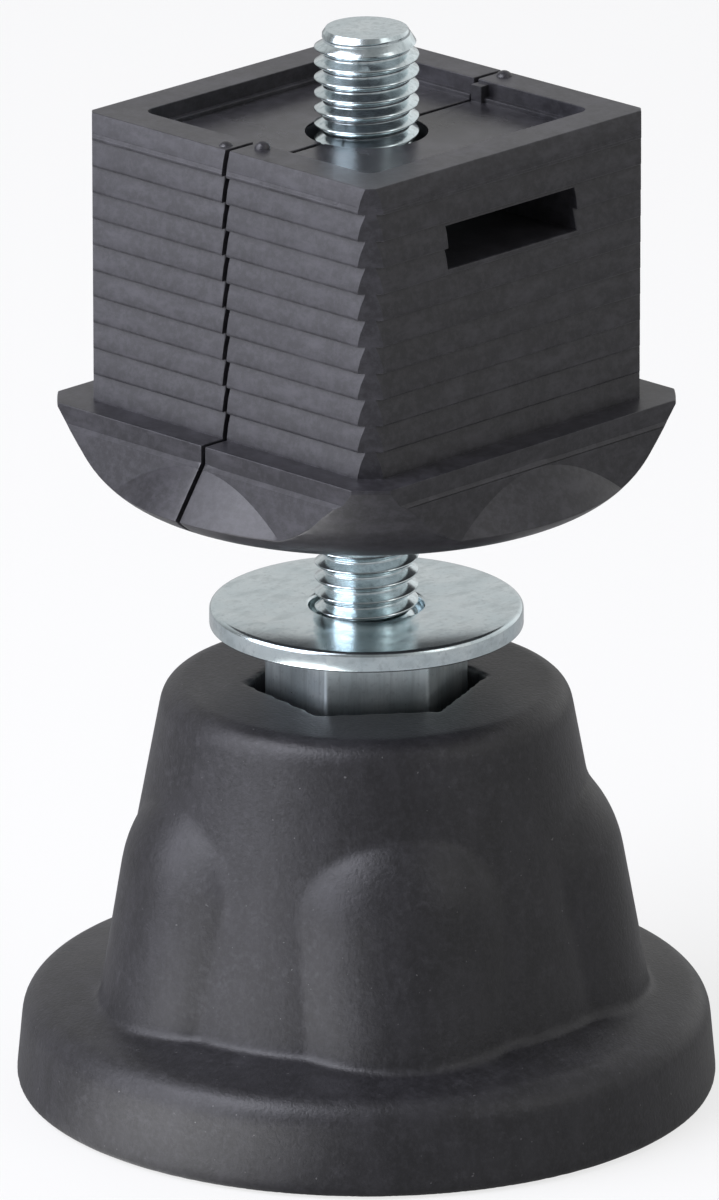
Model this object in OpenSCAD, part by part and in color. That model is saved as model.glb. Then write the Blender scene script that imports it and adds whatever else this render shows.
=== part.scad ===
// Adjustable foot for a square tube: a split tube insert on a screwed spindle that stands in a rubber foot.
// Lengths are in millimetres and angles in degrees.
// The origin is the middle of the foot's underside, +Z is up and the insert's sides face X and Y.

/* [Foot] */
// Widest diameter of the foot, just above the floor
foot_d = 67.4; // [62:0.1:76]
// Height of the foot
foot_h = 40.35; // [38:0.05:46]
// Height of the widest line above the floor
foot_edge_h = 1; // [0.5:0.1:2]
// How far the floor edge stands inside the widest line
foot_edge_in = 0.8; // [0.2:0.1:1.6]
// Draft of the flange's side
flange_draft = 5.5; // [2:0.5:8]
// Height at which the flange's side ends and its rounded rim starts
flange_side_h = 6.8; // [4:0.1:8]
// Radius of the flange's rounded rim
flange_round = 3; // [1:0.1:4]
// Slope of the flange's top, rising to the body
flange_slope = 11.3; // [4:0.1:16]
// Diameter of the body's cone where it would meet the top face
body_top_d = 38.7; // [34:0.1:42]
// Slope of the body's cone
body_draft = 10.7; // [6:0.1:13]
// Radius of the rounding between cone and top face
body_round = 2.5; // [1:0.1:4]
// Number of rounded lobes on the body
lobe_count = 5; // [3:1:5]
// Turn of the first lobe from +X
lobe_turn = 36; // [0:1:72]
// Radius of a lobe's column and of its round head
lobe_r = 12.9; // [11:0.1:14]
// How far a lobe stands out of the body's cone
lobe_out = 2.3; // [1.4:0.1:3]
// Height of the centre of a lobe's round head
lobe_head_z = 22; // [18:0.1:26]
// Size across flats of the hexagon recess at the foot's top
mouth_af = 20; // [18.6:0.1:24]
// Depth of that recess
mouth_depth = 4.4; // [2:0.1:5]

/* [Spindle] */
// Thread size of the spindle
bolt_d = 10; // [8:1:10]
// Thread pitch of the spindle
bolt_pitch = 1.5; // [1:0.25:1.75]
// Length of the threaded rod above the hexagon
bolt_l = 59; // [56:0.5:80]
// Size across flats of the spindle's hexagon
hex_af = 17; // [15:0.5:18]
// How far the hexagon stands above the foot
hex_proud = 5.7; // [4:0.1:8]
// Length of the hexagon held tightly inside the foot
hex_grip = 2; // [1.5:0.1:4]
// Turn of a flat of the hexagon from +X
hex_turn = -39; // [-60:1:60]
// Clearance of the hexagon in its seat, each side
hex_clear = 0.02; // [0.01:0.01:0.1]

/* [Washer] */
// Outer diameter of the washer
washer_od = 30; // [24:0.5:36]
// Bore of the washer
washer_id = 11; // [10.8:0.1:12]
// Thickness of the washer
washer_t = 2; // [1.5:0.1:3]
// Bevel of the washer's upper outer edge
washer_edge = 0.35; // [0.1:0.05:0.6]

/* [Insert] */
// Width of the insert at the top of a tooth
block_w = 37.26; // [36:0.02:40]
// Height of the toothed block above its flange
block_h = 28.2; // [24:0.1:36]
// Number of teeth up the block
tooth_count = 11; // [7:1:13]
// Depth of a tooth
tooth_depth = 0.51; // [0.2:0.01:0.8]
// Distance of the flat vertical corner cuts from the middle
corner_r = 25.87; // [25:0.01:26.2]
// Width of the flange at its top
flange_w = 44; // [42:0.1:48]
// Height of the upright band around the flange's top
band_h = 1.8; // [1:0.1:2.4]
// How far the sides below the band stand out from it
band_step = 0.35; // [0.1:0.05:0.6]
// Lean of the flange's sides below the band, wider towards the bottom
flange_lean = 8; // [2:0.5:10]
// Height of the flange with the dome below it
dome_h = 9.2; // [8:0.1:12]
// Height of the flange's vertical edge at its corners
dome_edge = 0.4; // [0.2:0.1:1]
// Radius of the flange at its corners
dome_r = 29.34; // [28:0.02:32]
// Slope of the dome's side from upright
dome_slope = 28.5; // [20:0.5:36]
// Radius of the dome's lower edge
dome_round = 9; // [5:0.1:9]
// Radius of the round plate that swells out of the flange's sides, at its lower edge
plate_r = 25.3; // [24.6:0.1:26]
// Distance of that lower edge below the flange's top
plate_drop = 6.4; // [5.6:0.1:7]
// Slope of the round plate's side from upright, wider towards the bottom
plate_slope = 35; // [25:0.5:40]
// Width of the square recess in the insert's top
recess_w = 29.8; // [26:0.1:32]
// Depth of the square recess
recess_depth = 2; // [1:0.1:4]
// Corner radius of the square recess
recess_corner = 1.2; // [0.4:0.1:3]
// Width of the ledge around the recess's floor
ledge_w = 0.6; // [0.3:0.1:1.2]
// Height of that ledge
ledge_h = 0.5; // [0.2:0.1:0.8]
// Width of the rib on the recess's wall, beside the slit
rib_w = 1.4; // [0.8:0.1:2]
// How far that rib stands out of the wall
rib_out = 0.7; // [0.4:0.1:1]
// Hole for the spindle
insert_bore = 11.6; // [11:0.1:13]
// Width of the slit between the two halves
slit_w = 0.4; // [0.2:0.1:1]
// Height of the dome's underside above the washer
insert_gap = 11.55; // [4:0.05:16]

/* [Square nut] */
// Width of the square nut
nut_w = 17; // [15:0.1:18]
// Thickness of the square nut
nut_t = 3.9; // [3.2:0.1:5]
// Running clearance of the spindle in the nut, each side
nut_clear = 0.05; // [0.02:0.01:0.1]
// Clearance of the nut in its slot, each side and above
slot_clear = 0.2; // [0.1:0.05:0.4]
// Distance of the slot's middle below the insert's rim
slot_drop = 7.65; // [6:0.05:12]

/* [Hidden] */
$fn = 96;
foot_r = foot_d / 2;
rim_x = foot_r - (flange_side_h - foot_edge_h) * tan(flange_draft);
rim_cx = rim_x - flange_round * cos(flange_draft);
rim_cz = flange_side_h - flange_round * sin(flange_draft);
rim_top_x = rim_cx + flange_round * sin(flange_slope);
rim_top_z = rim_cz + flange_round * cos(flange_slope);
body_top_r = body_top_d / 2;
flange_in_x = 20;
flange_in_z = rim_top_z + (rim_top_x - flange_in_x) * tan(flange_slope);
body_foot_z = 4;
body_foot_x = body_top_r + (foot_h - body_foot_z) * tan(body_draft);
body_cz = foot_h - body_round;
body_cx = body_top_r + body_round * tan(body_draft) - body_round / cos(body_draft);
body_tan_x = body_cx + body_round * cos(body_draft);
body_tan_z = body_cz + body_round * sin(body_draft);
lobe_x = body_top_r + (foot_h - lobe_head_z) * tan(body_draft) + (lobe_out - lobe_r) / cos(body_draft);
lobe_l = (lobe_head_z - body_foot_z) / cos(body_draft);
lobe_sink = 3.3;
lobe_gap = 1;
lobe_in = body_top_r - lobe_sink;
lobe_side = lobe_in * tan(180 / lobe_count) - lobe_gap / 2;
hex_z0 = foot_h - mouth_depth - hex_grip;
hex_z1 = foot_h + hex_proud;
bolt_z = hex_z1 + bolt_l;
bolt_bevel = 0.87 * bolt_pitch;
washer_z = hex_z1;
dome_z = washer_z + washer_t + insert_gap;
flange_z = dome_z + dome_h;
rim_z = flange_z + block_h;
tooth_p = block_h / tooth_count;
tooth_w = block_w + 2 * tooth_depth;
dome_cz = dome_z + dome_round;
dome_edge_z = flange_z - dome_edge;
dome_tan_z = dome_cz - dome_round * sin(dome_slope);
dome_tan_x = dome_r - (dome_edge_z - dome_tan_z) * tan(dome_slope);
dome_cx = dome_tan_x - dome_round * cos(dome_slope);
band_z = flange_z - band_h;
side_x = flange_w / 2 + band_step;
side_low_x = side_x + (band_z - band_step - dome_z) * tan(flange_lean);
plate_z = flange_z - plate_drop;
plate_low_r = plate_r + (plate_z - dome_z) * tan(plate_slope);
plate_top_r = plate_r - (band_z - plate_z) * tan(plate_slope);
half_l = flange_w;
slot_w = nut_w + 2 * slot_clear;
slot_h = nut_t + slot_clear;
slot_z0 = rim_z - slot_drop - slot_h / 2;

// Prism with six flats, given across flats
module hex_prism(af, h) {
    cylinder(h = h, d = af / cos(30), $fn = 6);
}

// Square with rounded corners, around the middle
module round_square(w, r) {
    square([w - 2 * r, w], center = true);
    square([w, w - 2 * r], center = true);
    for (x = [-1, 1], y = [-1, 1])
        translate([x * (w / 2 - r), y * (w / 2 - r)])
            circle(r = r);
}

// Half outline of the foot's flange
module flange_outline() {
    polygon([
        [0, 0],
        [foot_r - foot_edge_in, 0],
        [foot_r, foot_edge_h],
        [rim_x, flange_side_h],
        [rim_cx, rim_cz],
        [rim_top_x, rim_top_z],
        [flange_in_x, flange_in_z],
        [0, flange_in_z]
    ]);
    translate([rim_cx, rim_cz])
        circle(r = flange_round);
}

// Half outline of the foot's conical body
module body_outline() {
    polygon([
        [0, body_foot_z],
        [body_foot_x, body_foot_z],
        [body_tan_x, body_tan_z],
        [body_cx, body_cz],
        [body_cx, foot_h],
        [0, foot_h]
    ]);
    translate([body_cx, body_cz])
        circle(r = body_round);
}

// Half outline of a lobe: a straight side and a quarter-round head
module lobe_outline() {
    square([lobe_r, lobe_l]);
    intersection() {
        circle(r = lobe_r);
        translate([0, -lobe_r])
            square(lobe_r);
    }
}

// Round-headed column that leans with the body's cone, trimmed inside the body
module lobe() {
    intersection() {
        translate([lobe_x, 0, lobe_head_z])
            rotate([0, 180 - body_draft, 0])
                rotate_extrude()
                    lobe_outline();
        translate([lobe_in, -lobe_side, body_foot_z])
            cube([foot_r, 2 * lobe_side, foot_h]);
    }
}

// Rubber foot with its hexagon seat
module rubber_foot() {
    color([0.13, 0.13, 0.14])
    difference() {
        union() {
            rotate_extrude()
                flange_outline();
            rotate_extrude()
                body_outline();
            for (i = [0 : lobe_count - 1])
                rotate([0, 0, lobe_turn + i * 360 / lobe_count])
                    lobe();
        }
        rotate([0, 0, hex_turn + 30]) {
            translate([0, 0, foot_h - mouth_depth])
                hex_prism(mouth_af, mouth_depth + 1);
            translate([0, 0, hex_z0])
                hex_prism(hex_af + 2 * hex_clear, hex_grip + 1);
        }
    }
}

// Screwed spindle with its hexagon
module spindle() {
    color([0.72, 0.76, 0.78]) {
        translate([0, 0, hex_z0])
            rotate([0, 0, hex_turn + 30])
                hex_prism(hex_af, hex_z1 - hex_z0);
        rotate_extrude()
            polygon([
                [0, hex_z1 - 1],
                [bolt_d / 2, hex_z1 - 1],
                [bolt_d / 2, bolt_z - bolt_bevel],
                [bolt_d / 2 - bolt_bevel, bolt_z],
                [0, bolt_z]
            ]);
    }
}

// Plain washer that lies on the hexagon
module flat_washer() {
    color([0.76, 0.79, 0.80])
    translate([0, 0, washer_z])
        rotate_extrude()
            polygon([
                [washer_id / 2, 0],
                [washer_od / 2, 0],
                [washer_od / 2, washer_t - washer_edge],
                [washer_od / 2 - washer_edge, washer_t],
                [washer_id / 2, washer_t]
            ]);
}

// Half outline of the dome below the flange
module dome_outline() {
    intersection() {
        union() {
            polygon([
                [0, dome_z],
                [dome_cx, dome_z],
                [dome_cx, dome_cz],
                [dome_tan_x, dome_tan_z],
                [dome_r, dome_edge_z],
                [dome_r, flange_z],
                [0, flange_z]
            ]);
            translate([dome_cx, dome_cz])
                circle(r = dome_round);
        }
        translate([0, dome_z])
            square([dome_r, dome_h]);
    }
}

// Half outline of the round plate that widens towards the bottom
module plate_outline() {
    polygon([
        [0, dome_z],
        [plate_low_r, dome_z],
        [plate_top_r, band_z],
        [0, band_z]
    ]);
}

// Upright band and leaning sides of the flange, seen from one side
module side_outline() {
    polygon([
        [-side_low_x, dome_z],
        [side_low_x, dome_z],
        [side_x, band_z - band_step],
        [flange_w / 2, band_z],
        [flange_w / 2, flange_z],
        [-flange_w / 2, flange_z],
        [-flange_w / 2, band_z],
        [-side_x, band_z - band_step]
    ]);
}

// Four sides of the flange
module flange_sides() {
    intersection() {
        rotate([90, 0, 0])
            linear_extrude(2 * half_l, center = true)
                side_outline();
        rotate([90, 0, 90])
            linear_extrude(2 * half_l, center = true)
                side_outline();
    }
}

// Flange and dome, with the round plate that swells out of each side
module dome() {
    intersection() {
        rotate_extrude()
            dome_outline();
        union() {
            flange_sides();
            rotate_extrude()
                plate_outline();
        }
    }
}

// Saw-toothed outline of the block, seen from one side
module tooth_outline() {
    right = [for (i = [0 : tooth_count - 1], s = [0, 1])
        [s == 0 ? tooth_w / 2 : block_w / 2, flange_z + (i + s) * tooth_p]];
    left = [for (k = [len(right) - 1 : -1 : 0])
        [-right[k][0], right[k][1]]];
    polygon(concat(right, left));
}

// Toothed block with its corner cuts
module block() {
    intersection() {
        rotate([90, 0, 0])
            linear_extrude(2 * half_l, center = true)
                tooth_outline();
        rotate([90, 0, 90])
            linear_extrude(2 * half_l, center = true)
                tooth_outline();
        rotate([0, 0, 45])
            translate([-corner_r, -corner_r, flange_z - 1])
                cube([2 * corner_r, 2 * corner_r, block_h + 2]);
    }
}

// Whole insert before it is split
module insert_body() {
    difference() {
        union() {
            block();
            dome();
        }
        translate([0, 0, rim_z - recess_depth + ledge_h])
            linear_extrude(recess_depth)
                round_square(recess_w, recess_corner);
        translate([0, 0, rim_z - recess_depth])
            linear_extrude(recess_depth)
                round_square(recess_w - 2 * ledge_w, recess_corner);
        translate([0, 0, dome_z - 1])
            cylinder(h = rim_z - dome_z + 2, d = insert_bore);
        translate([-slot_w / 2, -slot_w / 2, slot_z0])
            cube([slot_w / 2 + tooth_w, slot_w, slot_h]);
    }
}

// Space of one half of the insert, on the +X side of the slit
module half_space() {
    translate([slit_w / 2, -half_l, dome_z - 1])
        cube([half_l, 2 * half_l, rim_z - dome_z + 2]);
}

// Rib on the recess's wall, on the +X side of the slit
module slit_rib() {
    translate([slit_w / 2, recess_w / 2 - rib_out, rim_z - recess_depth])
        cube([rib_w, rib_out, recess_depth]);
}

// Half of the insert with the mouth of the nut's slot
module insert_half_front() {
    color([0.17, 0.17, 0.18]) {
        intersection() {
            insert_body();
            half_space();
        }
        slit_rib();
    }
}

// Half of the insert with the closed end of the nut's slot
module insert_half_rear() {
    color([0.17, 0.17, 0.18])
    intersection() {
        insert_body();
        rotate([0, 0, 180])
            half_space();
    }
}

// Square nut held in the insert's slot
module square_nut() {
    color([0.72, 0.76, 0.78])
    difference() {
        translate([-nut_w / 2, -nut_w / 2, slot_z0])
            cube([nut_w, nut_w, nut_t]);
        translate([0, 0, slot_z0 - 1])
            cylinder(h = nut_t + 2, d = bolt_d + 2 * nut_clear);
    }
}

rubber_foot();
spindle();
flat_washer();
insert_half_front();
insert_half_rear();
square_nut();
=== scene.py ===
# %% [markdown]
# # An adjustable foot for square tube
#
# A split plastic insert sits in the end of a square tube. A threaded spindle runs through a nut inside
# it, and stands in a rubber foot. The solids are already built at their real size, so this lesson starts
# from them: it sets up a camera, writes the three finishes, models the parts whose looks need more than a
# plain solid, and lights them.

# %% Load the solids
import math

import bmesh
import bpy
from mathutils import Matrix, Vector


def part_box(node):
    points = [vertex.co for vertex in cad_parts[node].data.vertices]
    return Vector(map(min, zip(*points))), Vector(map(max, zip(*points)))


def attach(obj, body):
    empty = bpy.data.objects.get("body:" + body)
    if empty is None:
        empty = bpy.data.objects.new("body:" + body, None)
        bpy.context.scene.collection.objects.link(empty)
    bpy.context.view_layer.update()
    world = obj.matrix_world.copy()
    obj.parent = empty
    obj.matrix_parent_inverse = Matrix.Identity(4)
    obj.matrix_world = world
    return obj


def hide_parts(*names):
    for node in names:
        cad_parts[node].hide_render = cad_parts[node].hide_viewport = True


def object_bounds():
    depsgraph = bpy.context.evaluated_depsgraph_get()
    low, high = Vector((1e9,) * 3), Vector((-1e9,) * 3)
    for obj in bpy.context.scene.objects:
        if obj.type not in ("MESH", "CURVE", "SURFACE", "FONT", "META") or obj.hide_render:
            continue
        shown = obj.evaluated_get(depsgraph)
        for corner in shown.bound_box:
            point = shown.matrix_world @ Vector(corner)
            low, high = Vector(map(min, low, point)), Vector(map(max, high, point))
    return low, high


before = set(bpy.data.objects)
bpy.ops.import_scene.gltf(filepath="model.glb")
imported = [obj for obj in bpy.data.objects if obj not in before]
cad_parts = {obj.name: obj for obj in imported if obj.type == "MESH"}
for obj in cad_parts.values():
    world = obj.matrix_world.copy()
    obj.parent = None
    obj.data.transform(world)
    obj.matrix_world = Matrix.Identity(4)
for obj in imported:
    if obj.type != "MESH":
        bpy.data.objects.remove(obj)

MM = 0.001
cad_low, cad_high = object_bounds()
foot_low, foot_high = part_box("rubber_foot")
spindle_low, spindle_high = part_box("spindle")
washer_low, washer_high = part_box("flat_washer")
front_low, front_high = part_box("insert_half_front")
nut_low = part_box("square_nut")[0]
print("solids:", sorted(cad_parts), "height", round((cad_high.z - cad_low.z) / MM, 2), "mm")

# %% [markdown]
# ## Camera
#
# The object is seen from a little above one corner of the insert, through a long lens. A camera is
# easiest to place by the direction it looks from: a turn around the object, a height above the horizon
# and a distance to the point it aims at.

# %% Camera
CAMERA_TURN = 44.23
CAMERA_LIFT = 18.5
CAMERA_DISTANCE = 1294 * MM
CAMERA_AIM_RIGHT = -0.666 * MM
CAMERA_AIM_HEIGHT = 48.32 * MM
CAMERA_LENS = 407.2
SENSOR_WIDTH = 36


def direction(turn, lift):
    """A unit vector from the object: turn 0 is in front, 90 to the right, and lift is above the horizon."""
    a = math.radians(turn)
    e = math.radians(lift)
    return Vector((math.sin(a) * math.cos(e), -math.cos(a) * math.cos(e), math.sin(e)))


def deselect():
    """Leaves nothing selected, so that the next operator acts on its own object alone."""
    bpy.ops.object.select_all(action="DESELECT")


to_camera = direction(CAMERA_TURN, CAMERA_LIFT)
camera_right = direction(CAMERA_TURN + 90, 0)
aim = camera_right * CAMERA_AIM_RIGHT + Vector((0, 0, CAMERA_AIM_HEIGHT))
deselect()
bpy.ops.object.camera_add(
    location=aim + to_camera * CAMERA_DISTANCE,
    rotation=(-to_camera).to_track_quat("-Z", "Y").to_euler(),
)
camera = bpy.context.object
camera.data.lens = CAMERA_LENS
camera.data.sensor_width = SENSOR_WIDTH
camera.data.clip_start = 0.1
camera.data.clip_end = 20
bpy.context.scene.camera = camera
bpy.context.scene.view_settings.view_transform = "Standard"
print("camera at", [round(v, 3) for v in camera.location])

# %% [markdown]
# ## Shader maths
#
# A finish is a small calculation: noise here, a mask there, multiplied and mixed. Wiring such sums by
# hand hides them, so one class wraps a socket and lets Python's own operators add the Math nodes. Its
# `node` method makes every other node.

# %% A socket that can be calculated with
class Wire:
    """One socket in a node tree. Arithmetic on wires adds Math nodes, and node() adds any other node."""

    def __init__(self, tree, socket=None):
        self.tree = tree
        self.socket = socket

    def node(self, kind, settings=None, inputs=None, output=0):
        made = self.tree.nodes.new(kind)
        for name, value in (settings or {}).items():
            setattr(made, name, value)
        for name, value in (inputs or {}).items():
            if isinstance(value, Wire):
                self.tree.links.new(value.socket, made.inputs[name])
            else:
                made.inputs[name].default_value = value
        return Wire(self.tree, made.outputs[output])

    def math(self, operation, *values):
        return self.node("ShaderNodeMath", {"operation": operation}, dict(enumerate(values)))

    def __add__(self, other):
        return self.math("ADD", self, other)

    __radd__ = __add__

    def __sub__(self, other):
        return self.math("SUBTRACT", self, other)

    def __rsub__(self, other):
        return self.math("SUBTRACT", other, self)

    def __mul__(self, other):
        return self.math("MULTIPLY", self, other)

    __rmul__ = __mul__

    def above(self, edge, soft):
        """0 below edge, 1 above it, with a soft step between."""
        inputs = {"Value": self, "From Min": edge - soft, "From Max": edge + soft}
        return self.node("ShaderNodeMapRange", {"interpolation_type": "SMOOTHSTEP"}, inputs)

    def below(self, edge, soft):
        """1 below edge, 0 above it."""
        return 1 - self.above(edge, soft)


print("socket class ready")


# %% Helpers for a finish
def new_finish(name):
    """An empty material, its tree as a wire and its Principled shader."""
    material = bpy.data.materials.new(name)
    material.use_nodes = True
    tree = material.node_tree
    return material, Wire(tree), tree.nodes["Principled BSDF"]


def place(wire, scale=(1, 1, 1), turn=(0, 0, 0)):
    """Object coordinates in metres, stretched and turned for a pattern."""
    coordinates = wire.node("ShaderNodeTexCoord", output="Object")
    return wire.node("ShaderNodeMapping", inputs={"Vector": coordinates, "Scale": scale, "Rotation": turn})


def noise(where, grain, detail=3.0, rough=0.55):
    """Cloudy noise whose blotches are about one grain across, in metres."""
    inputs = {"Vector": where, "Scale": 1 / grain, "Detail": detail, "Roughness": rough}
    return where.node("ShaderNodeTexNoise", inputs=inputs)


def tint(wire, share, first, second):
    """The mix of two colours by a share from 0 to 1."""
    settings = {"data_type": "RGBA"}
    return wire.node("ShaderNodeMix", settings, {"Factor": share, "A": first, "B": second}, output="Result")


def feed(wire, shader, **sockets):
    """Links wires, or sets values, on a shader's sockets."""
    for name, value in sockets.items():
        target = shader.inputs[name.replace("_", " ")]
        if isinstance(value, Wire):
            wire.tree.links.new(value.socket, target)
        else:
            target.default_value = value


print("finish helpers ready")

# %% [markdown]
# ## Modelling helpers
#
# Most of these parts are turned or moulded, so the same few moves come back: push an outline on from one
# corner to the next, spin it round the axis, and join or cut solids with a Boolean. Each move is wrapped
# once here, so that a part's own cell reads like a list of workshop steps.

# %% Objects and modifiers
def take(name):
    """Names the object that the last operator made."""
    made = bpy.context.object
    made.name = name
    made.data.name = name
    return made


def activate(made):
    """Selects one object alone and makes it the active one."""
    deselect()
    made.select_set(True)
    bpy.context.view_layer.objects.active = made


def apply(made, kind, **settings):
    """Adds a modifier with these settings and applies it."""
    modifier = made.modifiers.new(kind, kind)
    for name, value in settings.items():
        setattr(modifier, name, value)
    activate(made)
    bpy.ops.object.modifier_apply(modifier=modifier.name)


def settle():
    """Moves the active object's place, turn and scale into its mesh."""
    bpy.ops.object.transform_apply(location=True, rotation=True, scale=True)


def combine(made, tool, operation):
    """Joins, cuts or intersects a solid with a second one, which is then cleared away."""
    apply(made, "BOOLEAN", operation=operation, solver="EXACT", object=tool)
    bpy.data.objects.remove(tool)


def finish_piece(made, body, slot, material, *nodes):
    """Gives a piece its finish, hangs it on the empty of its body, and hides the solids that it replaces.
    """
    made.data.materials.clear()
    made.data.materials.append(material)
    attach(made, body)
    if nodes:
        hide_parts(*nodes)
    low = [min(v.co[i] for v in made.data.vertices) / MM for i in range(3)]
    high = [max(v.co[i] for v in made.data.vertices) / MM for i in range(3)]
    size = [round(h - l, 2) for l, h in zip(low, high)]
    print(made.name, "faces", len(made.data.polygons), size, "mm")


print("object helpers ready")

# %% Outlines and turned solids
MERGE = 0.001 * MM


def draw_outline(name, points):
    """A chain of edges through (x, z) points, in millimetres, pushed on from point to point."""
    deselect()
    bpy.ops.mesh.primitive_plane_add(size=MM)
    made = take(name)
    bpy.ops.object.mode_set(mode="EDIT")
    bpy.ops.mesh.merge(type="CENTER")
    bpy.ops.transform.translate(value=(points[0][0] * MM, 0, points[0][1] * MM))
    for (x0, z0), (x1, z1) in zip(points, points[1:]):
        step = ((x1 - x0) * MM, 0, (z1 - z0) * MM)
        bpy.ops.mesh.extrude_region_move(TRANSFORM_OT_translate={"value": step})
    bpy.ops.object.mode_set(mode="OBJECT")
    return made


def tidy_mesh(made):
    """Merges doubles and turns every face outwards."""
    activate(made)
    bpy.ops.object.mode_set(mode="EDIT")
    bpy.ops.mesh.select_all(action="SELECT")
    bpy.ops.mesh.remove_doubles(threshold=MERGE)
    bpy.ops.mesh.normals_make_consistent(inside=False)
    bpy.ops.object.mode_set(mode="OBJECT")


def turn_solid(name, points, steps):
    """Spins an outline of (radius, height) points once round the Z axis."""
    made = draw_outline(name, points)
    bpy.ops.object.mode_set(mode="EDIT")
    bpy.ops.mesh.select_all(action="SELECT")
    bpy.ops.mesh.spin(steps=steps, angle=2 * math.pi, center=(0, 0, 0), axis=(0, 0, 1))
    bpy.ops.object.mode_set(mode="OBJECT")
    tidy_mesh(made)
    return made


def arc(x, z, radius, first, last, count):
    """Points on an arc round (x, z), from one angle to another in degrees."""
    angles = [math.radians(first + (last - first) * i / count) for i in range(count + 1)]
    return [(x + radius * math.cos(a), z + radius * math.sin(a)) for a in angles]


def round_uprights(made, radius, segments):
    """Rounds the upright edges of a bar, in millimetres."""
    activate(made)
    bpy.ops.object.mode_set(mode="EDIT")
    bpy.ops.mesh.select_mode(type="EDGE")
    bpy.ops.mesh.select_all(action="DESELECT")
    bpy.ops.object.mode_set(mode="OBJECT")
    for edge in made.data.edges:
        a, b = (made.data.vertices[v].co for v in edge.vertices)
        edge.select = abs(a.z - b.z) > MM
    bpy.ops.object.mode_set(mode="EDIT")
    bpy.ops.mesh.bevel(offset=radius * MM, segments=segments)
    bpy.ops.mesh.select_mode(type="VERT")
    bpy.ops.object.mode_set(mode="OBJECT")


print("outline helpers ready")

# %% [markdown]
# ## Rubber finish
#
# The foot is moulded from carbon-filled rubber. Such rubber is never one flat black: it is matt, a little
# blotchy from handling, and paler where dust and release powder stay, on edges and in the fine grain.
# Noises of several sizes give the clouds, smears, dust and grain, and the Bevel node, which knows where
# the surface turns a corner, gives the rubbed edges.

# %% Rubbed edges and relief
EDGE_GAIN = 6


def edge_share(wire, radius):
    """0 on flat places, rising where the surface turns a corner within the radius."""
    rounded = wire.node("ShaderNodeBevel", {"samples": 6}, {"Radius": radius})
    true_normal = wire.node("ShaderNodeNewGeometry", output="Normal")
    inputs = {0: rounded, 1: true_normal}
    agree = wire.node("ShaderNodeVectorMath", {"operation": "DOT_PRODUCT"}, inputs, output="Value")
    return (1 - agree) * EDGE_GAIN


def bump(wire, height, distance, strength):
    """A normal that follows a height field of so many metres."""
    inputs = {"Height": height, "Distance": distance, "Strength": strength}
    return wire.node("ShaderNodeBump", inputs=inputs)


print("edge gain", EDGE_GAIN)

# %% Rubber
RUBBER_DEEP = (0.009, 0.0088, 0.0102, 1)
RUBBER_PALE = (0.0135, 0.0131, 0.0152, 1)
RUBBER_SMEAR = (0.024, 0.0234, 0.027, 1)
RUBBER_MOTTLE = (0.034, 0.0332, 0.038, 1)
RUBBER_POWDER = (0.05, 0.049, 0.055, 1)
RUBBER_SPECK = (0.25, 0.245, 0.25, 1)
RUBBER_EDGE = (0.085, 0.083, 0.091, 1)
RUBBER_RELIEF = 0.06 * MM
rubber, wire, shader = new_finish("moulded_rubber")
where = place(wire)
cloud = noise(where, 9 * MM, detail=4)
smear = noise(place(wire, (1, 1, 0.4)), 3.5 * MM, detail=5, rough=0.65)
grain = noise(where, 0.35 * MM, detail=2, rough=0.6)
dust = noise(where, 1.1 * MM, detail=6, rough=0.7)
mottle = noise(where, 0.6 * MM, detail=5, rough=0.75)
worn = edge_share(wire, 0.9 * MM).above(0.5, 0.3) * dust.above(0.5, 0.14)
powder = dust.above(0.6, 0.10) * cloud.above(0.48, 0.14) * 0.45
speck = noise(where, 0.45 * MM, detail=1).above(0.79, 0.02) * 0.35
colour = tint(wire, cloud, RUBBER_DEEP, RUBBER_PALE)
colour = tint(wire, smear.above(0.55, 0.15) * 0.7, colour, RUBBER_SMEAR)
colour = tint(wire, mottle.above(0.54, 0.12) * 0.4, colour, RUBBER_MOTTLE)
colour = tint(wire, powder, colour, RUBBER_POWDER)
colour = tint(wire, speck, colour, RUBBER_SPECK)
colour = tint(wire, worn * 0.4, colour, RUBBER_EDGE)
height = grain * 0.7 + dust * 0.3
feed(
    wire,
    shader,
    Base_Color=colour,
    Roughness=0.26 + cloud * 0.12 + grain * 0.12 + dust * 0.10,
    Normal=bump(wire, height, RUBBER_RELIEF, 0.9),
    Specular_IOR_Level=0.46,
)
print("rubber nodes:", len(wire.tree.nodes))

# %% [markdown]
# ## Zinc finish
#
# Spindle, hexagon, washer and nut are steel with a bright zinc plating and a clear passivation, which
# leaves a faint blue-green tint. Plating is a metal with soft, uneven gloss: blotches from the bath, and
# fine lines from rolling and drawing.

# %% Zinc plating
ZINC_DULL = (0.68, 0.78, 0.81, 1)
ZINC_BRIGHT = (0.80, 0.88, 0.90, 1)
ZINC_FLECK = (0.50, 0.57, 0.60, 1)
ZINC_LINE = (0.46, 0.53, 0.55, 1)
ZINC_RELIEF = 0.02 * MM


def zinc_finish(name, streak_scale, streak_grain, shine):
    """Plated steel whose fine lines run along the axis with the smallest streak scale."""
    material, wire, shader = new_finish(name)
    where = place(wire)
    bath = noise(where, 4 * MM, detail=5, rough=0.6)
    fleck = noise(where, 0.5 * MM, detail=3)
    line = noise(place(wire, streak_scale), streak_grain, detail=4, rough=0.6)
    colour = tint(wire, bath.above(0.5, 0.2), ZINC_DULL, ZINC_BRIGHT)
    colour = tint(wire, fleck.above(0.62, 0.1) * 0.5, colour, ZINC_FLECK)
    colour = tint(wire, line.above(0.56, 0.12) * 0.45, colour, ZINC_LINE)
    feed(
        wire,
        shader,
        Base_Color=colour,
        Metallic=1.0,
        Roughness=shine + bath * 0.10 + fleck * 0.06,
        Normal=bump(wire, line * 0.7 + fleck * 0.3, ZINC_RELIEF, 0.4),
    )
    return material


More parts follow.
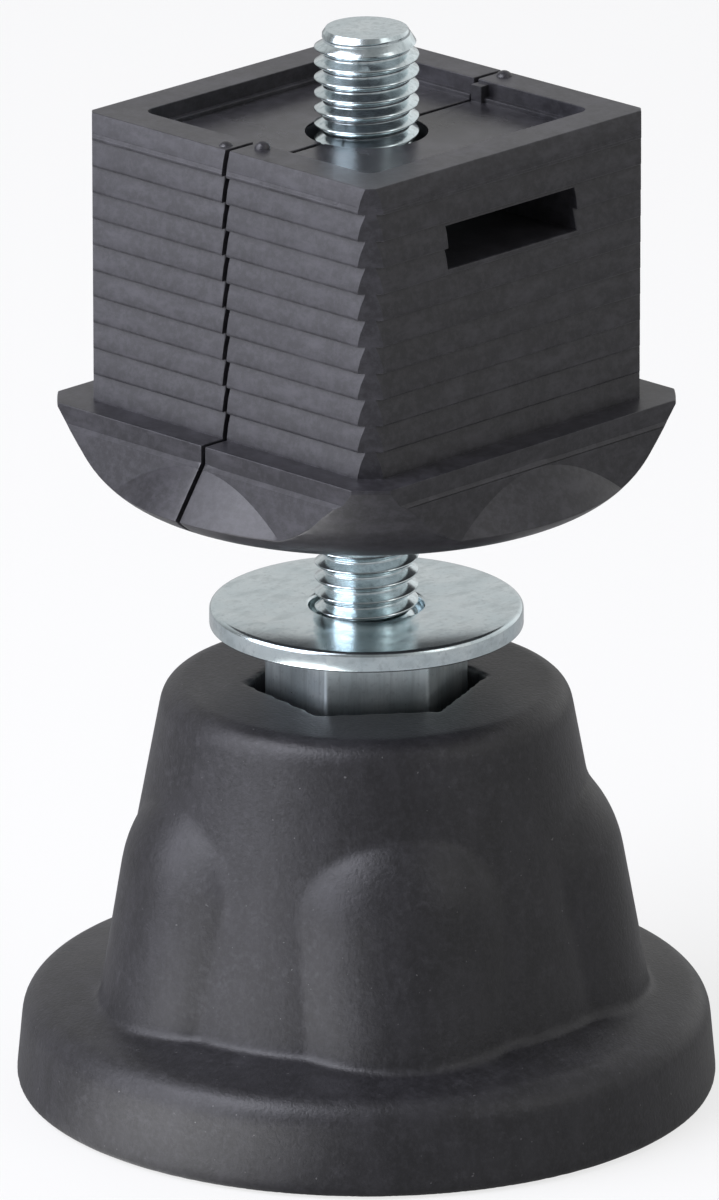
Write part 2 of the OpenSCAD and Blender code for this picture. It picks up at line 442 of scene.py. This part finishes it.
zinc_spindle = zinc_finish("zinc_spindle", (1, 1, 0.08), 0.7 * MM, 0.10)
zinc_hexagon = zinc_finish("zinc_hexagon", (1, 1, 0.08), 0.7 * MM, 0.22)
zinc_washer = zinc_finish("zinc_washer", (1, 0.5, 1), 1.6 * MM, 0.10)
print("zinc finishes:", zinc_spindle.name, zinc_hexagon.name, zinc_washer.name)

# %% [markdown]
# ## Moulded plastic finish
#
# The insert is dark grey polyamide or polypropylene, straight from the mould: satin, with a fine grain,
# cloudy where it has rubbed in the box, and paler along its sharp edges. The floor of its recess is
# smoother than the rest and mirrors the spindle.

# %% Moulded plastic
PLASTIC_DEEP = (0.0175, 0.017, 0.0198, 1)
PLASTIC_PALE = (0.0255, 0.0247, 0.0288, 1)
PLASTIC_RUB = (0.055, 0.0535, 0.062, 1)
PLASTIC_MOTTLE = (0.05, 0.049, 0.056, 1)
PLASTIC_EDGE = (0.075, 0.074, 0.081, 1)
PLASTIC_RELIEF = 0.03 * MM
RECESS_DEPTH = 2.0
FLOOR_REACH = 0.2 * MM
FLOOR_SOFT = 0.05 * MM
recess_floor = front_high.z - RECESS_DEPTH * MM
plastic, wire, shader = new_finish("moulded_plastic")
where = place(wire)
cloud = noise(where, 7 * MM, detail=4)
rub = noise(place(wire, (1, 1, 2.4)), 3 * MM, detail=6, rough=0.68)
mottle = noise(where, 0.8 * MM, detail=5, rough=0.75)
grain = noise(where, 0.3 * MM, detail=2)
height_above = where.node("ShaderNodeSeparateXYZ", inputs={"Vector": where}, output="Z")
floor_share = height_above.above(recess_floor - FLOOR_REACH, FLOOR_SOFT)
floor_share = floor_share * height_above.below(recess_floor + FLOOR_REACH, FLOOR_SOFT)
worn = edge_share(wire, 0.3 * MM).above(0.9, 0.5) * rub.above(0.42, 0.2)
colour = tint(wire, cloud, PLASTIC_DEEP, PLASTIC_PALE)
colour = tint(wire, rub.above(0.58, 0.15) * 0.75, colour, PLASTIC_RUB)
colour = tint(wire, mottle.above(0.54, 0.12) * 0.6, colour, PLASTIC_MOTTLE)
colour = tint(wire, worn * 0.6, colour, PLASTIC_EDGE)
gloss = 0.27 + cloud * 0.12 + grain * 0.06
floor_gloss = 0.16 + cloud * 0.2
height = (grain * 0.6 + rub * 0.4) * (1 - floor_share)
feed(
    wire,
    shader,
    Base_Color=colour,
    Roughness=gloss * (1 - floor_share) + floor_gloss * floor_share,
    Normal=bump(wire, height, PLASTIC_RELIEF, 0.4),
    Specular_IOR_Level=0.5,
)
print("plastic nodes:", len(wire.tree.nodes))

# %% [markdown]
# ## Rubber foot
#
# The foot is one moulding: a wide flange, a cone with five round-headed lobes, and a hexagon mouth for a
# spanner. A mould for soft rubber has no sharp inner corners, so the solids are joined first, remade as
# one even mesh, and then smoothed, which lets every joint flow into a soft blend.

# %% Foot sizes
FOOT_R = (foot_high.x - foot_low.x) / 2 / MM
FOOT_H = foot_high.z / MM
CONE_LEAN = 10.7
CONE_DRAFT = math.tan(math.radians(CONE_LEAN))
CONE_TOP_R = 19.35


def cone_radius(z):
    """Radius of the foot's cone at a height, in millimetres."""
    return CONE_TOP_R + (FOOT_H - z) * CONE_DRAFT


print("foot:", round(FOOT_R, 2), "mm radius,", round(FOOT_H, 2), "mm high")

# %% Foot outline
FLANGE_LEAN = 5.5
FLANGE_SLOPE = 11.3
EDGE_R = 1.0
SIDE_TOP_Z = 6.8
RIM_R = 3.0
MEET_Z = 10.608
TOP_R = 2.5
lean = math.radians(FLANGE_LEAN)
side_top = FOOT_R - (SIDE_TOP_Z - EDGE_R) * math.tan(lean)
rim_x = side_top - RIM_R * math.cos(lean)
rim_z = SIDE_TOP_Z - RIM_R * math.sin(lean)
top_x = CONE_TOP_R + TOP_R * CONE_DRAFT - TOP_R / math.cos(math.radians(CONE_LEAN))
outline = [(0, 0)]
outline += arc(FOOT_R - EDGE_R, EDGE_R, EDGE_R, -90, 0, 4)
outline += arc(rim_x, rim_z, RIM_R, FLANGE_LEAN, 90 - FLANGE_SLOPE, 10)
outline += [(cone_radius(MEET_Z), MEET_Z)]
outline += arc(top_x, FOOT_H - TOP_R, TOP_R, CONE_LEAN, 90, 8)
outline += [(0, FOOT_H)]
foot = turn_solid("foot_moulding", outline, 144)
print("turned foot:", len(foot.data.polygons), "faces")

# %% Five lobes
LOBE_R = 12.9
LOBE_OUT = 2.3
LOBE_HEAD = 22.0
LOBE_FOOT = 4.0
LOBE_TURN = 36
LOBE_COUNT = 5
lobe_x = cone_radius(LOBE_HEAD) + (LOBE_OUT - LOBE_R) / math.cos(math.radians(CONE_LEAN))
lobe_length = (LOBE_HEAD - LOBE_FOOT) / math.cos(math.radians(CONE_LEAN))
lobe_outline = [(0, -lobe_length), (LOBE_R, -lobe_length)] + arc(0, 0, LOBE_R, 0, 90, 16)
lobe = turn_solid("lobe", lobe_outline, 64)
lobe.rotation_euler = (0, -math.radians(CONE_LEAN), 0)
lobe.location = (lobe_x * MM, 0, LOBE_HEAD * MM)
activate(lobe)
settle()
for i in range(LOBE_COUNT):
    activate(lobe)
    bpy.ops.object.duplicate()
    one = take("lobe_copy")
    one.rotation_euler = (0, 0, math.radians(LOBE_TURN + i * 360 / LOBE_COUNT))
    settle()
    combine(foot, one, "UNION")
bpy.data.objects.remove(lobe)
print("foot with lobes:", len(foot.data.polygons), "faces")

# %% Hexagon mouth and one even skin
HEX_TURN = -39
MOUTH_AF = 20.0
MOUTH_DEPTH = 4.4
SKIN_VOXEL = 0.42 * MM
SKIN_ROUNDS = 3


def add_hexagon(name, across, low, high):
    """A hexagon bar, given across flats, from one height to another in millimetres."""
    deselect()
    bpy.ops.mesh.primitive_cylinder_add(
        vertices=6,
        radius=across / 2 / math.cos(math.radians(30)) * MM,
        depth=(high - low) * MM,
        location=(0, 0, (low + high) / 2 * MM),
        rotation=(0, 0, math.radians(HEX_TURN)),
    )
    made = take(name)
    settle()
    return made


mouth = add_hexagon("mouth", MOUTH_AF, FOOT_H - MOUTH_DEPTH, FOOT_H + 2)
combine(foot, mouth, "DIFFERENCE")
apply(foot, "REMESH", mode="VOXEL", voxel_size=SKIN_VOXEL)
apply(foot, "SMOOTH", factor=0.5, iterations=SKIN_ROUNDS)
activate(foot)
bpy.ops.object.shade_smooth()
finish_piece(foot, "foot", "rubber", rubber, "rubber_foot")

# %% [markdown]
# ## Spindle
#
# The spindle is an M10 rod with a rolled thread and a hexagon at its foot. A stack of rings would only
# look like a thread from afar, so one pitch of its outline is drawn and the Screw modifier winds it up as
# a true right-hand helix. The ends are cut level, and the crests near the tip are pressed in to a bevel,
# as a die leaves them. The hexagon is a bar with broken edges that closes over the rod's foot.

# %% Thread
PITCH = 1.5
THREAD_STEPS = 64
hex_low = spindle_low.z / MM
hex_high = washer_low.z / MM
tip = spindle_high.z / MM
# Radius and height of half a thread, from its root to its crest.
half_tooth = [(4.08, 0.0), (4.11, 0.13), (4.22, 0.22), (4.83, 0.59), (4.94, 0.67), (4.97, 0.75)]
one_pitch = half_tooth + [(r, PITCH - z) for r, z in reversed(half_tooth[:-1])]
turns = math.ceil((tip - hex_high) / PITCH) + 4
thread_start = hex_high - 2 * PITCH
spindle = draw_outline("spindle_rod", [(r, thread_start + z) for r, z in one_pitch])
apply(
    spindle,
    "SCREW",
    axis="Z",
    angle=2 * math.pi,
    screw_offset=PITCH * MM,
    iterations=turns,
    steps=THREAD_STEPS,
    render_steps=THREAD_STEPS,
    use_merge_vertices=True,
    merge_threshold=MERGE,
)
print("thread:", turns, "turns,", len(spindle.data.polygons), "faces")

# %% Ends of the rod
END_R = 3.9
END_LEAN = 0.64
CUT_MERGE = 0.0005 * MM
METAL_SMOOTH = math.radians(28)


def cut_level(made, height, keep_above):
    """Cuts a solid level at a height in millimetres and closes the cut."""
    activate(made)
    bpy.ops.object.mode_set(mode="EDIT")
    bpy.ops.mesh.select_all(action="SELECT")
    bpy.ops.mesh.bisect(
        plane_co=(0, 0, height * MM),
        plane_no=(0, 0, 1),
        use_fill=True,
        clear_inner=keep_above,
        clear_outer=not keep_above,
        threshold=CUT_MERGE,
    )
    bpy.ops.object.mode_set(mode="OBJECT")


cut_level(spindle, hex_high - 1, True)
cut_level(spindle, tip, False)
tidy_mesh(spindle)
for vertex in spindle.data.vertices:
    radius = vertex.co.xy.length / MM
    allowed = END_R + (tip - vertex.co.z / MM) * END_LEAN
    if radius > allowed:
        vertex.co.xy *= allowed / radius
activate(spindle)
bpy.ops.object.shade_smooth_by_angle(angle=METAL_SMOOTH)
finish_piece(spindle, "foot", "zinc_steel", zinc_spindle, "spindle")

# %% Hexagon
HEX_AF = 17.0
HEX_ROUND = 0.3
BEVEL_R = 9.9
hexagon = add_hexagon("spindle_hexagon", HEX_AF, hex_low, hex_high)
round_uprights(hexagon, HEX_ROUND, 3)
bevel = [(0, hex_low), (BEVEL_R - 1, hex_low), (BEVEL_R, hex_low + 0.6)]
bevel += [(BEVEL_R, hex_high - 0.55), (BEVEL_R - 1.15, hex_high), (0, hex_high)]
combine(hexagon, turn_solid("hexagon_bevel", bevel, 96), "INTERSECT")
activate(hexagon)
bpy.ops.object.shade_smooth_by_angle(angle=METAL_SMOOTH)
finish_piece(hexagon, "foot", "zinc_steel", zinc_hexagon)

# %% [markdown]
# ## Washer
#
# A plain washer is punched from sheet. The punch rolls the edge on the side it enters and leaves the
# other side sharp, so the outline has a large rounding on top and small ones below. Spinning that outline
# gives the whole ring.

# %% Washer
WASHER_R = (washer_high.x - washer_low.x) / 2 / MM
BORE_R = 5.5
ROLLED = 0.5
UNDER = 0.2
BORE_ROLLED = 0.35
BORE_UNDER = 0.15
WASHER_SMOOTH = math.radians(40)
low = washer_low.z / MM
high = washer_high.z / MM
ring = arc(WASHER_R - UNDER, low + UNDER, UNDER, -90, 0, 3)
ring += arc(WASHER_R - ROLLED, high - ROLLED, ROLLED, 0, 90, 6)
ring += arc(BORE_R + BORE_ROLLED, high - BORE_ROLLED, BORE_ROLLED, 90, 180, 4)
ring += arc(BORE_R + BORE_UNDER, low + BORE_UNDER, BORE_UNDER, 180, 270, 3)
ring += ring[:1]
washer = turn_solid("punched_washer", ring, 160)
activate(washer)
bpy.ops.object.shade_smooth_by_angle(angle=WASHER_SMOOTH)
finish_piece(washer, "washer", "zinc_steel", zinc_washer, "flat_washer")

# %% [markdown]
# ## Toothed block of the insert
#
# The insert is moulded in two halves that grip the inside of a tube with saw teeth. Seen from the front
# and from the side the block has the same toothed outline, so the outline is drawn once and pushed out to
# a bar, the bar is turned by a quarter, and what both bars share is the block. Each tooth has a narrow
# land at its tip and a slightly swollen face. A square bar on its corner then trims the four edges flat.

# %% Bars and crossed outlines
REACH = 45


def push_out(name, points):
    """A closed outline of (x, z) points, pushed out along Y to a long bar."""
    made = draw_outline(name, points + points[:1])
    bpy.ops.object.mode_set(mode="EDIT")
    bpy.ops.mesh.select_all(action="SELECT")
    bpy.ops.mesh.remove_doubles(threshold=MERGE)
    bpy.ops.mesh.edge_face_add()
    bpy.ops.transform.translate(value=(0, -REACH * MM, 0))
    bpy.ops.mesh.extrude_region_move(TRANSFORM_OT_translate={"value": (0, 2 * REACH * MM, 0)})
    bpy.ops.object.mode_set(mode="OBJECT")
    tidy_mesh(made)
    return made


def mirrored(points):
    """An outline closed by its own mirror image on the left."""
    return points + [(-x, z) for x, z in reversed(points)]


def turn_about(made, degrees):
    """Turns a piece about the Z axis and applies the turn."""
    activate(made)
    made.rotation_euler = (0, 0, math.radians(degrees))
    settle()


def both_ways(name, points):
    """The solid that shows the same outline from the front and from the side."""
    made = push_out(name, points)
    other = push_out("turned", points)
    turn_about(other, 90)
    combine(made, other, "INTERSECT")
    return made


def bar(name, low, high):
    """A plain block between two corners, in millimetres."""
    deselect()
    bpy.ops.mesh.primitive_cube_add(size=1)
    made = take(name)
    made.scale = [(h - l) * MM for l, h in zip(low, high)]
    made.location = [(h + l) / 2 * MM for l, h in zip(low, high)]
    settle()
    return made


print("bars reach", REACH, "mm each way")

# %% Toothed block
RIM_Z = front_high.z / MM
BLOCK_HIGH = 28.2
BLOCK_HALF = 18.63
TOOTH_DEPTH = 0.51
TOOTH_LAND = 0.3
TOOTH_SWELL = 0.06
TOOTH_COUNT = 11
CORNER_CUT = 25.87
FLANGE_Z = RIM_Z - BLOCK_HIGH
pitch = (RIM_Z - FLANGE_Z) / TOOTH_COUNT
teeth = []
for i in range(TOOTH_COUNT):
    foot_z = FLANGE_Z + i * pitch
    teeth.append((BLOCK_HALF + TOOTH_DEPTH, foot_z))
    teeth.append((BLOCK_HALF + TOOTH_DEPTH, foot_z + TOOTH_LAND))
    teeth.append((BLOCK_HALF + TOOTH_DEPTH / 2 + TOOTH_SWELL, foot_z + (pitch + TOOTH_LAND) / 2))
    teeth.append((BLOCK_HALF, foot_z + pitch))
insert = both_ways("insert", mirrored(teeth))
corner_low = (-CORNER_CUT, -CORNER_CUT, FLANGE_Z - 1)
corner_high = (CORNER_CUT, CORNER_CUT, RIM_Z + 1)
corners = bar("corners", corner_low, corner_high)
turn_about(corners, 45)
combine(insert, corners, "INTERSECT")
print("toothed block:", len(insert.data.polygons), "faces")

# %% [markdown]
# ## Dome of the insert
#
# Below the block a square flange swells into a shallow dome. The dome is turned. Four leaning sides cut
# it square, and a round plate, wider towards the bottom, stands out of the middle of each side in a low
# arch. So the dome is what the turned outline shares with the sides and the plate together.

# %% Turned dome
DOME_Z = front_low.z / MM
DOME_R = 29.34
DOME_EDGE = 0.4
DOME_SLOPE = 28.5
DOME_ROUND = 9.0
edge_z = FLANGE_Z - DOME_EDGE
round_z = DOME_Z + DOME_ROUND
tangent_z = round_z - DOME_ROUND * math.sin(math.radians(DOME_SLOPE))
tangent_x = DOME_R - (edge_z - tangent_z) * math.tan(math.radians(DOME_SLOPE))
round_x = tangent_x - DOME_ROUND * math.cos(math.radians(DOME_SLOPE))
bowl = [(0, DOME_Z)] + arc(round_x, round_z, DOME_ROUND, -90, -DOME_SLOPE, 20)
bowl += [(DOME_R, edge_z), (DOME_R, FLANGE_Z), (0, FLANGE_Z)]
dome = turn_solid("dome", bowl, 180)
print("turned dome:", len(dome.data.polygons), "faces")

# %% Leaning sides and round plate
SIDE_HALF = 22.0
BAND = 1.8
STEP = 0.35
SIDE_LEAN = math.tan(math.radians(8))
PLATE_R = 25.3
PLATE_Z = FLANGE_Z - 6.4
PLATE_LEAN = math.tan(math.radians(35))
band_z = FLANGE_Z - BAND
step_z = band_z - STEP
low_z = DOME_Z - 1
side = [(SIDE_HALF + STEP + (step_z - low_z) * SIDE_LEAN, low_z)]
side += [(SIDE_HALF + STEP, step_z)]
side += [(SIDE_HALF, band_z), (SIDE_HALF, FLANGE_Z + 1)]
sides = both_ways("sides", mirrored(side))
plate = [(0, low_z), (PLATE_R + (PLATE_Z - low_z) * PLATE_LEAN, low_z)]
plate_top = FLANGE_Z - BAND / 2
plate += [(PLATE_R - (plate_top - PLATE_Z) * PLATE_LEAN, plate_top), (0, plate_top)]
combine(sides, turn_solid("plate", plate, 180), "UNION")
combine(dome, sides, "INTERSECT")
combine(insert, dome, "UNION")
print("block with dome:", len(insert.data.polygons), "faces")

# %% [markdown]
# ## Recess, hole and slot
#
# The top has a square recess with a narrow ledge around its floor, the spindle passes through a plain
# hole, and the nut is loaded through a slot in one side. Each is a cutting tool of its own.

# %% Cuts
RECESS_HALF = 14.9
RECESS_CORNER = 1.2
LEDGE = 0.6
LEDGE_HIGH = 0.5
HOLE_R = 5.8
SLOT_HALF = 8.7
SLOT_LOW = nut_low.z / MM
SLOT_TALL = 4.1
SLOT_HIGH = SLOT_LOW + SLOT_TALL


def square_tool(name, half, low, high):
    """A square bar with rounded upright edges."""
    made = bar(name, (-half, -half, low), (half, half, high))
    round_uprights(made, RECESS_CORNER, 6)
    return made


floor_z = RIM_Z - RECESS_DEPTH
ledge_z = floor_z + LEDGE_HIGH
recess = square_tool("recess", RECESS_HALF, ledge_z, RIM_Z + 1)
combine(insert, recess, "DIFFERENCE")
recess = square_tool("recess_floor", RECESS_HALF - LEDGE, floor_z, ledge_z + 0.5)
combine(insert, recess, "DIFFERENCE")
hole = [(0, DOME_Z - 1), (HOLE_R, DOME_Z - 1), (HOLE_R, RIM_Z + 1), (0, RIM_Z + 1)]
combine(insert, turn_solid("hole", hole, 96), "DIFFERENCE")
slot = bar("slot", (-SLOT_HALF, -SLOT_HALF, SLOT_LOW), (REACH, SLOT_HALF, SLOT_HIGH))
combine(insert, slot, "DIFFERENCE")
print("cut insert:", len(insert.data.polygons), "faces")

# %% [markdown]
# ## Two halves
#
# The slit parts the insert in two. One half has a small rib in the recess beside the slit, and both have
# round nubs on the rim that the mould left there. A fine bevel then breaks the sharp outer edges, because
# a real moulding always has a small radius that catches the light. Inner corners stay sharp, since a
# bevel there would only leave dark lines.

# %% Parting and edge helpers
SLIT_HALF = 0.25
EDGE_BREAK = 0.12
SHARP = math.radians(50)
MOULD_SMOOTH = math.radians(24)


def part_half(name, low_x, high_x):
    """The share of the insert between two places along X."""
    activate(insert)
    bpy.ops.object.duplicate()
    made = take(name)
    half = bar("half", (low_x, -REACH, DOME_Z - 1), (high_x, REACH, RIM_Z + 1))
    combine(made, half, "INTERSECT")
    return made


def score_levels(made):
    """Cuts every wall at the foot of each tooth, so that no face is a long zigzag."""
    activate(made)
    bpy.ops.object.mode_set(mode="EDIT")
    for i in range(TOOTH_COUNT):
        bpy.ops.mesh.select_all(action="SELECT")
        level = (0, 0, (FLANGE_Z + i * pitch) * MM)
        bpy.ops.mesh.bisect(plane_co=level, plane_no=(0, 0, 1), threshold=CUT_MERGE)
    bpy.ops.object.mode_set(mode="OBJECT")


def break_edges(made):
    """Rounds every sharp outer edge a little and smooths the round faces."""
    tidy_mesh(made)
    bpy.ops.object.mode_set(mode="EDIT")
    bpy.ops.mesh.select_mode(type="EDGE")
    bpy.ops.mesh.select_all(action="DESELECT")
    shape = bmesh.from_edit_mesh(made.data)
    for edge in shape.edges:
        edge.select_set(edge.is_convex and edge.calc_face_angle() > SHARP)
    bmesh.update_edit_mesh(made.data)
    bpy.ops.mesh.bevel(offset=EDGE_BREAK * MM, segments=2, clamp_overlap=False)
    bpy.ops.mesh.select_mode(type="VERT")
    bpy.ops.object.mode_set(mode="OBJECT")
    bpy.ops.object.shade_smooth_by_angle(angle=MOULD_SMOOTH)
    apply(made, "WEIGHTED_NORMAL", keep_sharp=True)


print("slit", 2 * SLIT_HALF, "mm wide")

# %% Two halves
RIB_W = 1.4
RIB_OUT = 1.0
RIB_DROP = 0.3
# Half, place in X and Y, radius and height above the rim.
NUBS = (
    ("rear", -1.3, -17.5, 0.8, 0.4),
    ("front", 1.9, -15.9, 0.75, 0.75),
    ("front", 1.3, 17.4, 0.9, 0.5),
)
insert_front = part_half("insert_with_slot", SLIT_HALF, REACH)
insert_rear = part_half("insert_plain", -REACH, -SLIT_HALF)
bpy.data.objects.remove(insert)
rib_low = (SLIT_HALF, RECESS_HALF - RIB_OUT, floor_z - 0.5)
rib_high = (SLIT_HALF + RIB_W, RECESS_HALF + 0.5, RIM_Z - RIB_DROP)
combine(insert_front, bar("rib", rib_low, rib_high), "UNION")
for half, x, y, radius, high in NUBS:
    deselect()
    bpy.ops.mesh.primitive_uv_sphere_add(
        segments=32,
        ring_count=24,
        radius=radius * MM,
        location=(x * MM, y * MM, (RIM_Z + high - radius) * MM),
    )
    combine(insert_front if half == "front" else insert_rear, take("nub"), "UNION")
print("halves with", len(NUBS), "nubs")

# %% Broken edges
for half in (insert_front, insert_rear):
    score_levels(half)
    break_edges(half)
finish_piece(insert_front, "insert", "moulded_plastic", plastic, "insert_half_front")
finish_piece(insert_rear, "insert", "moulded_plastic", plastic, "insert_half_rear")
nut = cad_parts["square_nut"]
nut.data.materials.clear()
nut.data.materials.append(zinc_spindle)

# %% [markdown]
# ## Studio
#
# The object stands on white paper. A large soft lamp on the left models the dark plastic, a smaller one
# above it lifts the top faces, and a weak one fills the right. Metal and satin plastic show what is
# around them, so the room is dim, with a brighter wall behind the object and on its right, and a spot of
# paper on the left of the foot that glows strongly, as a hidden lamp. Only the camera sees paper and
# room as plain white. A part of the floor stays a lit surface, so that it keeps the object's shadow, and
# from below the floor is clear.

# %% Floor
FLOOR_LIT_SHARE = 0.25
FLOOR_DIM = 0.29
FLOOR_SPOT = 5.5
SPOT_TURN = -42
SPOT_AWAY = 71 * MM
SPOT_R = 32 * MM
SPOT_SOFT = 14 * MM
FLOOR_DROP = 0.05 * MM
deselect()
bpy.ops.mesh.primitive_plane_add(size=8, location=(0, 0, 0))
floor = take("floor")
floor.data.transform(Matrix.Translation((0, 0, -FLOOR_DROP)))
paper, wire, shader = new_finish("white_paper")
feed(wire, shader, Base_Color=(0.86, 0.86, 0.86, 1), Roughness=0.8)
camera_ray = wire.node("ShaderNodeLightPath", output="Is Camera Ray")
spot_middle = direction(CAMERA_TURN + SPOT_TURN, 0) * SPOT_AWAY
inputs = {0: place(wire), 1: tuple(spot_middle)}
away = wire.node("ShaderNodeVectorMath", {"operation": "DISTANCE"}, inputs, output="Value")
# The spot is glowing paper, a hidden lamp on the left of the foot: every ray but the camera's finds it
# shining at FLOOR_SPOT.
spot = away.below(SPOT_R, SPOT_SOFT)
paper_light = FLOOR_DIM + spot * (FLOOR_SPOT - FLOOR_DIM)
strength = camera_ray + (1 - camera_ray) * paper_light
glow = wire.node("ShaderNodeEmission", inputs={"Color": (1, 1, 1, 1), "Strength": strength})
lit = Wire(wire.tree, shader.outputs[0])
mixed = wire.node("ShaderNodeMixShader", inputs={0: 1 - FLOOR_LIT_SHARE, 1: lit, 2: glow})
from_below = wire.node("ShaderNodeNewGeometry", output="Backfacing")
clear = wire.node("ShaderNodeBsdfTransparent")
mixed = wire.node("ShaderNodeMixShader", inputs={0: from_below, 1: mixed, 2: clear})
wire.tree.links.new(mixed.socket, wire.tree.nodes["Material Output"].inputs["Surface"])
floor.data.materials.append(paper)
print("floor ready")

# %% Room
ROOM_DIM = 0.24
ROOM_RIGHT = 0.62
ROOM_BEHIND = 0.60


def along(wire, vector, axis):
    """How far a vector reaches along an axis."""
    inputs = {0: vector, 1: tuple(axis)}
    return wire.node("ShaderNodeVectorMath", {"operation": "DOT_PRODUCT"}, inputs, output="Value")


world = bpy.data.worlds.new("studio")
world.use_nodes = True
bpy.context.scene.world = world
wire = Wire(world.node_tree)
background = world.node_tree.nodes["Background"]
way = wire.node("ShaderNodeTexCoord", output="Generated")
backdrop = along(wire, way, direction(CAMERA_TURN + 180, 15)).above(0.65, 0.25)
right_wall = along(wire, way, direction(CAMERA_TURN + 95, 0)).above(0.45, 0.35)
room = ROOM_DIM + backdrop * (ROOM_BEHIND - ROOM_DIM)
room = room + right_wall * (ROOM_RIGHT - ROOM_DIM)
camera_ray = wire.node("ShaderNodeLightPath", output="Is Camera Ray")
strength = camera_ray + (1 - camera_ray) * room
feed(wire, background, Color=(1, 1, 1, 1), Strength=strength)
print("room light", ROOM_DIM, "to", ROOM_RIGHT)

# %% Lamps
LAMP_AWAY = 1.0
COOL = (0.93, 0.94, 1.05)
WARM = (1, 0.985, 0.97)


def soft_lamp(name, turn, lift, width, height, watts, colour):
    """A flat lamp that faces the middle of the object. Turn is counted from the camera."""
    middle = Vector((0, 0, (cad_low.z + cad_high.z) / 2))
    way = direction(CAMERA_TURN + turn, lift)
    deselect()
    bpy.ops.object.light_add(
        type="AREA",
        location=middle + way * LAMP_AWAY,
        rotation=(-way).to_track_quat("-Z", "Y").to_euler(),
    )
    lamp = bpy.context.object
    lamp.name = name
    lamp.data.shape = "RECTANGLE"
    lamp.data.size = width
    lamp.data.size_y = height
    lamp.data.energy = watts
    lamp.data.color = colour


soft_lamp("key_left", turn=-66, lift=30, width=1.1, height=1.4, watts=15.2, colour=COOL)
soft_lamp("key_top", turn=-58, lift=52, width=0.5, height=0.5, watts=3.0, colour=COOL)
soft_lamp("fill_right", turn=58, lift=30, width=0.3, height=0.7, watts=0.6, colour=WARM)
